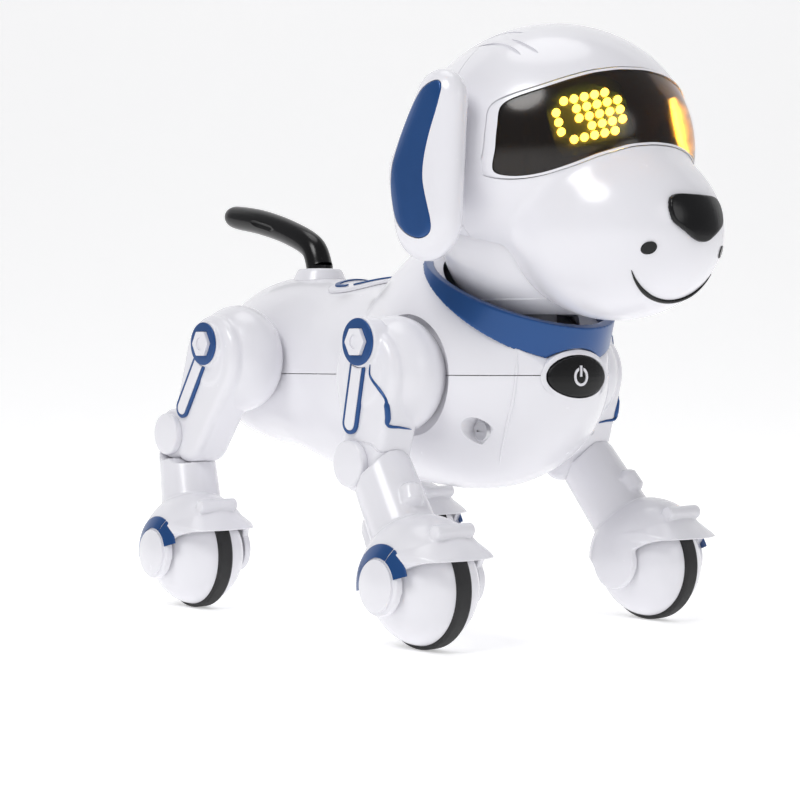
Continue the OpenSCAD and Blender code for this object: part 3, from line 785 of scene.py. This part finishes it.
VISOR_HALF = [
    (0, 201.5), (12, 200.8), (22, 199), (30, 196.3), (37, 193.3), (42, 191), (45, 188.6), (46.5, 185),
    (47.5, 177), (47.3, 167), (46, 163), (42, 161.5), (37, 162.4), (31, 165.3), (24, 169),
    (14, 172.4), (5, 173.5),
]


def visor_block(grow):
    outline = VISOR_HALF + [(-y, z) for y, z in VISOR_HALF[:0:-1]]
    middle = Vector((0, 180))
    count = len(outline)
    grown = []
    for i, p in enumerate(outline):
        run = Vector(outline[(i + 1) % count]) - Vector(outline[i - 1])
        out = Vector((-run.y, run.x)).normalized()
        if out.dot(Vector(p) - middle) < 0 and abs(p[0]) > 38:
            out = -out
        grown.append(tuple(Vector(p) + out * grow))
    return prism("visor", soft_corners(grown, 3, 4), "x", 80, 140)


head_shell = cut(head_solid(0), head_solid(WALL, 160, 90), ball(NECK_BALL_RADIUS + 0.7), visor_block(0))
# Soft creases over the brow, where the fur is drawn.
CREASES = [
    [(76.6, 23.9, 216.1), (65.5, 23.5, 217.4), (55.4, 25, 215.6)],
    [(86.1, 34.2, 205.9), (80.3, 33.4, 209), (71.5, 32, 212), (55.3, 30, 212.4)],
    [(91.4, 30.9, 206.2), (85.1, 30.7, 209.8), (76.3, 29.3, 213.4)],
]


def on_head(p, depth):
    """The point of the head surface in the direction of p, sunk by depth."""
    d = (Vector(p) - Vector(HEAD_CENTRE)).normalized()
    return tuple(Vector(HEAD_CENTRE) + d * (head_reach(d) - depth))


creases = []
for path in CREASES:
    for side in (-1, 1):
        creases.append(tube("crease", [on_head((x, side * y, z), 0.1) for x, y, z in path], 0.75))
cut(head_shell, *creases)
back_half = copied(head_shell, "back")
keep(back_half, box("behind", (-40, -100, 100), (HEAD_SPLIT_X - 0.1, 100, 300)))
keep(head_shell, box("ahead", (HEAD_SPLIT_X + 0.1, -100, 100), (200, 100, 300)))
cut(head_shell, cylinder_y("ear_pin", EAR_PIVOT, -60, 60, 3.08))
fit(back_half, "head_back_shell", "head")
fit(head_shell, "head_front_shell", "head")

rim = keep(cut(head_solid(-0.4), head_solid(1.4)), cut(visor_block(-GAP), visor_block(-1.1)))
fit(rim, "visor_rim", "head")
lens = keep(cut(head_solid(0.1), head_solid(1.8)), visor_block(-1.15))
fit(lens, "visor_lens", "head")


def front_prism(outline, x1=100, x2=160):
    return prism("front", outline, "x", x1, x2)


NOSE_OUTLINE = [
    (-12.6, 156), (12.6, 156), (13.2, 147), (9, 144), (0, 138.6), (-9, 144), (-13.2, 147),
]
nose = keep(
    cut(head_solid(-2.2), head_solid(-0.05)),
    front_prism(soft_corners(NOSE_OUTLINE, 5)),
)
fit(soften(nose, 0.3, 14), "nose", "head")
SMILE_RADIUS = 19.4
arc = []
for i in range(49):
    a = math.radians(208 + 124 * i / 48)
    arc.append(on_head((116, SMILE_RADIUS * math.cos(a), 146.5 + SMILE_RADIUS * math.sin(a)), -0.1))
mouth = tube("mouth", arc[::4], 0.85)
for side in (-1, 1):
    dimple = front_prism(circle_points((side * 18.3, 137.6), 2.1))
    join(mouth, keep(cut(head_solid(-0.5), head_solid(-0.05)), dimple))
fit(mouth, "mouth_line", "head")

# ---------- ears ----------

EAR_CIRCLES = [(71, 189, 11), (61, 165, 15.5), (64, 150, 15.3)]
EAR_OUTER = 63.5
ear = pillow("ear", EAR_CIRCLES, 50.5, EAR_OUTER, 9.5, 6.4)

# The blue inlay's outline, in order from its top.
EAR_INLAY = [
    (74, 196), (67, 193.6), (60.6, 187.6), (55.2, 179), (51.6, 170), (49.6, 159), (52.2, 149.6),
    (58.7, 144.1), (66.2, 141.6), (71.6, 143.2), (72.8, 147), (70.9, 153.6), (68.6, 160.6),
    (68.4, 165.6), (69.6, 171.4), (72, 178), (75, 184.6), (77.2, 191.4), (76.6, 194.6),
]


def ear_inlay_block(grow, y1, y2):
    middle = Vector((63, 168))
    outline = [tuple(Vector(p) + (Vector(p) - middle).normalized() * grow) for p in EAR_INLAY]
    return prism("inlay", soft_corners(outline, 4, 5), "y", y1, y2)


cut(ear, ear_inlay_block(0, EAR_OUTER - 2.2, 80))
join(ear, cylinder_y("pin", EAR_PIVOT, 44, 54, 3))
pillow_limit = pillow("limit", [(x, z, r + 1.5) for x, z, r in EAR_CIRCLES], 50.5, EAR_OUTER - 0.1, 11, 6.4)
inlay = soften(keep(ear_inlay_block(-0.2, EAR_OUTER - 2.1, EAR_OUTER), pillow_limit), 0.3, 8)
for side, body in ((1, "left_ear"), (-1, "right_ear")):
    for piece, part in ((ear, "ear_shell"), (inlay, "ear_blue_inlay")):
        node = body.split("_")[0] + "_" + part
        fit(copied(piece, node) if side > 0 else mirrored(piece, node), node, body)
for piece in (ear, inlay):
    bpy.data.objects.remove(piece)

# ---------- legs and wheels ----------


def thigh(leg):
    hub = spheroid_y(
        "hub", (leg["hub"][0], HUB_MIDDLE, leg["hub"][1]), HUB_RADIUS, HUB_HALF_THICKNESS,
        HUB_FLOOR + GAP - HUB_MIDDLE, LEG_OUTER - HUB_MIDDLE,
    )
    plate = pillow("plate", [(*leg["hub"], 17.5), (*leg["cuff"], 11.5)], LEG_INNER, LEG_OUTER - 0.3, 3.5)
    knee = cylinder_y("knee", leg["knee"], LEG_INNER, LEG_OUTER - 0.2, KNEE_RADIUS, 2.5)
    boss = cylinder_y("boss", leg["disc"], LEG_OUTER - 6, LEG_OUTER + 1.5, DISC_RADIUS + 0.5, 0.5)
    pin = cylinder_y("pin", leg["hub"], 22, HUB_FLOOR + 1, LEG_PIN_RADIUS)
    piece = soften(join(hub, plate, knee, boss), 0.45, 8)
    if leg is FRONT_LEG:
        cut(piece, *[tube("cuff", path, 0.5) for path in CUFF_LINES])
    return join(piece, pin)


def cone_between(a, b, radius_a, radius_b, steps=128):
    a, b = Vector(a), Vector(b)
    along = (b - a).normalized()
    across = along.orthogonal().normalized()
    other = along.cross(across)
    rings = []
    for end, radius in ((a, radius_a), (b, radius_b)):
        rings.append([
            tuple(end + (across * math.cos(v) + other * math.sin(v)) * radius)
            for v in (math.tau * k / steps for k in range(steps))
        ])
    return skin("cone", rings)


def at_wheel(obj, leg):
    """Moves a piece drawn about the origin to the leg's left wheel."""
    return shifted(obj, leg["axle_x"], HALF_TRACK, WHEEL_RADIUS)


LOBE = (-1, 1.5)
COVER_EDGE = [
    (40, 11.5), (18, 10.6), (11, 8.6), (7, 5), (0, 2),
    (-9, -4), (-13, 0), (-18, 1.2), (-40, -0.5),
]


def cover_solid():
    half = COVER_HALF_WIDTH
    cover = spheroid_y("cover", (0, 0, 0), COVER_RADIUS, half, -half, half)
    brim = revolve_z("brim", [(0, 10), (22.3, 10), (13.3, 17), (0, 17)], 160)
    shifted(brim, 5.5)
    keep(brim, spheroid_y("limit", (0, 0, 0), 31, 21, -21, 21))
    return join(cover, brim, cylinder_y("boss", (15.5, 20.2), -8, 9, 2.6, 0.6))


def shin_and_cover(leg):
    middle = (leg["axle_x"], HALF_TRACK, WHEEL_RADIUS)
    piece = join(cone_between(leg["shin_top"], middle, 11.2, 12.8), at_wheel(cover_solid(), leg))
    below_outline = soft_corners(COVER_EDGE, 2.5, 6, closed=False) + [(-40, -60), (40, -60)]
    below = prism("below", below_outline, "y", -40, 40)
    cut(below, cylinder_y("lobe", LOBE, -50, 50, 10.5, steps=144))
    thigh_room = join(
        pillow("room", [(*leg["hub"], 17.6), (*leg["cuff"], 11.6)], 20, 80, 0.01),
        cylinder_y("room", leg["knee"], 20, 80, KNEE_RADIUS + 0.1),
    )
    hole = cylinder_y("hole", (0, 0), -21.5, 21.5, AXLE_RADIUS + RUNNING_CLEARANCE)
    half = DOME_HALF_WIDTH + 1.2
    wheel_room = spheroid_y("room", (0, 0, 0), WHEEL_RADIUS + 1, half, -half, half)
    cut(piece, thigh_room, at_wheel(below, leg), at_wheel(wheel_room, leg))
    if leg is FRONT_LEG:
        join(piece, tube("rib", SHIN_RIB, 4.2, 40))
    soften(piece, 0.42, 6)
    return cut(piece, at_wheel(hole, leg))


def link_plate(leg, radius, y1, y2, edge):
    return pillow("link", [(*leg["disc"], radius), (*leg["link_end"], radius)], y1, y2, edge)


def foot_arcs():
    outer, inner = COVER_HALF_WIDTH + 0.45, COVER_HALF_WIDTH - 0.2
    band = cut(
        spheroid_y("band", (0, 0, 0), COVER_RADIUS + 0.45, outer, 5, outer),
        spheroid_y("inner", (0, 0, 0), COVER_RADIUS - 0.2, inner, 0, inner),
    )

    def sector(first, last):
        points = [LOBE]
        for i in range(25):
            a = math.radians(first + (last - first) * i / 24)
            points.append((LOBE[0] + 30 * math.cos(a), LOBE[1] + 30 * math.sin(a)))
        return prism("sector", points, "y", 0, 40)

    ring = cut(
        cylinder_y("ring", LOBE, 5, 40, 14.2, steps=180),
        cylinder_y("hole", LOBE, 0, 50, 9.7, steps=180),
    )
    keep(band, ring)
    other = copied(band, "other")
    keep(band, sector(18, 63.5))
    keep(other, sector(66.5, 193))
    return join(band, other)


def blue_trim(leg):
    ring = cut(
        cylinder_y("ring", leg["disc"], LEG_OUTER + 1.45, LEG_OUTER + 2.3, DISC_RADIUS, 0.35),
        prism("hex", circle_points(leg["disc"], 5.6, 6), "y", 55, 70),
    )
    outline = cut(
        link_plate(leg, 4.2, LEG_OUTER - 0.5, LEG_OUTER + 0.8, 0.3),
        link_plate(leg, 2.9, LEG_OUTER - 2, LEG_OUTER + 3, 0.01),
        cylinder_y("disc", leg["disc"], 50, 70, DISC_RADIUS + 0.8),
    )
    lines = []
    if leg is FRONT_LEG:
        lines = [tube("line", CIRCUIT, 0.62), tube("wide", CIRCUIT_WIDE, 1.1)]
    return join(ring, outline, at_wheel(foot_arcs(), leg), *lines)


def caps(leg):
    nut_outline = soft_corners(circle_points(leg["disc"], 5.5, 6), 0.6)
    nut = prism("nut", nut_outline, "y", LEG_OUTER + 1.5, LEG_OUTER + 3.6)
    cut(nut, cylinder_y("dimple", leg["disc"], LEG_OUTER + 3.1, LEG_OUTER + 5, 2.6))
    bar = cut(
        link_plate(leg, 2.8, LEG_OUTER - 0.5, LEG_OUTER + 1.1, 0.5),
        cylinder_y("disc", leg["disc"], 50, 70, DISC_RADIUS + 0.8),
    )
    knee = cylinder_y("knee", leg["knee"], LEG_OUTER - 0.6, LEG_OUTER + 3, DISC_RADIUS, 1.4)
    outer, inner = COVER_HALF_WIDTH + 0.8, COVER_HALF_WIDTH - 0.1
    disc = cut(
        keep(
            cylinder_y("foot", LOBE, COVER_HALF_WIDTH - 5, COVER_HALF_WIDTH + 2, 9, steps=144),
            spheroid_y("outer", (0, 0, 0), COVER_RADIUS + 0.9, outer, -20, outer),
        ),
        spheroid_y("cover", (0, 0, 0), COVER_RADIUS - 0.1, inner, -20, inner),
    )
    return join(nut, bar, knee, at_wheel(disc, leg))


def wheel_domes():
    half = TYRE_WIDTH / 2
    profile = [(AXLE_RADIUS, half - 3.2), (TYRE_SEAT_RADIUS, half - 3.2), (TYRE_SEAT_RADIUS, half)]
    first = math.asin(half / DOME_HALF_WIDTH)
    last = math.acos(AXLE_RADIUS / DOME_RADIUS)
    for i in range(61):
        a = first + (last - first) * i / 60
        profile.append((DOME_RADIUS * math.cos(a), DOME_HALF_WIDTH * math.sin(a)))
    return revolve_y("dome", profile, (0, 0, 0), 180, closed=True)


def tyre():
    half = TYRE_WIDTH / 2 - 0.05
    profile = soft_corners([
        (TYRE_SEAT_RADIUS, -half), (WHEEL_RADIUS - 0.6, -half), (WHEEL_RADIUS, 0.9 - half),
        (WHEEL_RADIUS, half - 0.9), (WHEEL_RADIUS - 0.6, half), (TYRE_SEAT_RADIUS, half),
    ], 0.5)
    return revolve_y("tyre", profile, (0, 0, 0), 220, closed=True)


for end, leg in (("front", FRONT_LEG), ("rear", REAR_LEG)):
    dome = at_wheel(wheel_domes(), leg)
    other = mirrored(dome, "other")
    shifted(other, y=2 * HALF_TRACK)
    made = {
        "thigh": (thigh(leg), "leg"),
        "shin_and_wheel_cover": (shin_and_cover(leg), "leg"),
        "blue_trim": (blue_trim(leg), "leg"),
        "caps": (caps(leg), "leg"),
        "wheel_domes": (join(dome, other), "wheel"),
        "tyre": (at_wheel(tyre(), leg), "wheel"),
    }
    for part, (piece, kind) in made.items():
        left, right = f"{end}_left", f"{end}_right"
        fit(mirrored(piece, right), f"{right}_{part}", f"{right}_{kind}")
        fit(piece, f"{left}_{part}", f"{left}_{kind}")

# ---------- pieces kept from the CAD frame ----------

for name, obj in frame["nodes"].items():
    if not obj.hide_render:
        obj.data.materials.clear()
        obj.data.materials.append(SLOTS[NODE_SLOT[name]])
        for polygon in obj.data.polygons:
            polygon.use_smooth = False

# ---------- studio ----------

# A pale floor that sweeps up behind the toy. Distances run away from the camera, in metres.
VIEW_TURN = math.radians(50)
CAMERA_DROP = math.radians(1.273)
AWAY = Vector((-math.sin(VIEW_TURN), math.cos(VIEW_TURN), 0))
ACROSS = Vector((AWAY.y, -AWAY.x, 0))
sweep = [(-3.0, 0.0), (1.2, 0.0)]
for step in range(1, 25):
    a = math.radians(90 * step / 24)
    sweep.append((1.2 + 1.2 * math.sin(a), 1.2 - 1.2 * math.cos(a)))
sweep.append((2.4, 4.0))
floor_points = []
for distance, height in sweep:
    for side in (-5, 5):
        floor_points.append(tuple(AWAY * distance + ACROSS * side + Vector((0, 0, height))))
floor_faces = [(2 * i, 2 * i + 1, 2 * i + 3, 2 * i + 2) for i in range(len(sweep) - 1)]
floor_mesh = bpy.data.meshes.new("floor")
floor_mesh.from_pydata(floor_points, [], floor_faces)
floor = bpy.data.objects.new("floor", floor_mesh)
bpy.context.collection.objects.link(floor)
for polygon in floor_mesh.polygons:
    polygon.use_smooth = True
paper = material("floor", (0.9, 0.9, 0.9), 0.6, variation=0.01, bump=0.0)
floor.data.materials.append(lit(paper, (1, 1, 1), 0.42))

world = bpy.data.worlds.new("studio")
bpy.context.scene.world = world
world.use_nodes = True
world.node_tree.nodes["Background"].inputs["Color"].default_value = (0.97, 0.97, 1, 1)
world.node_tree.nodes["Background"].inputs["Strength"].default_value = 0.32


def lamp(name, place, target, size, power):
    light = bpy.data.lights.new(name, "AREA")
    light.shape = "DISK"
    light.size = size
    light.energy = power
    obj = bpy.data.objects.new(name, light)
    bpy.context.collection.objects.link(obj)
    obj.location = place
    obj.rotation_euler = (Vector(target) - Vector(place)).to_track_quat("-Z", "Y").to_euler()


lamp("key", (0.24, -1.1, 1.25), (0, 0, 0.1), 0.7, 9.5)
lamp("fill", (1.28, 0.1, 0.6), (0, 0, 0.1), 0.6, 1.5)
lamp("top", (-0.2, 0.1, 1.5), (0, 0, 0.1), 0.9, 4)

camera_data = bpy.data.cameras.new("camera")
camera_data.lens = 81
camera_data.sensor_width = 36
camera_data.clip_start = 0.01
camera = bpy.data.objects.new("camera", camera_data)
bpy.context.collection.objects.link(camera)
camera.location = (0.53544, -0.46528, 0.10049)
camera.rotation_euler = (math.radians(90) - CAMERA_DROP, 0, VIEW_TURN)
bpy.context.scene.camera = camera
bpy.context.scene.view_settings.view_transform = "Standard"
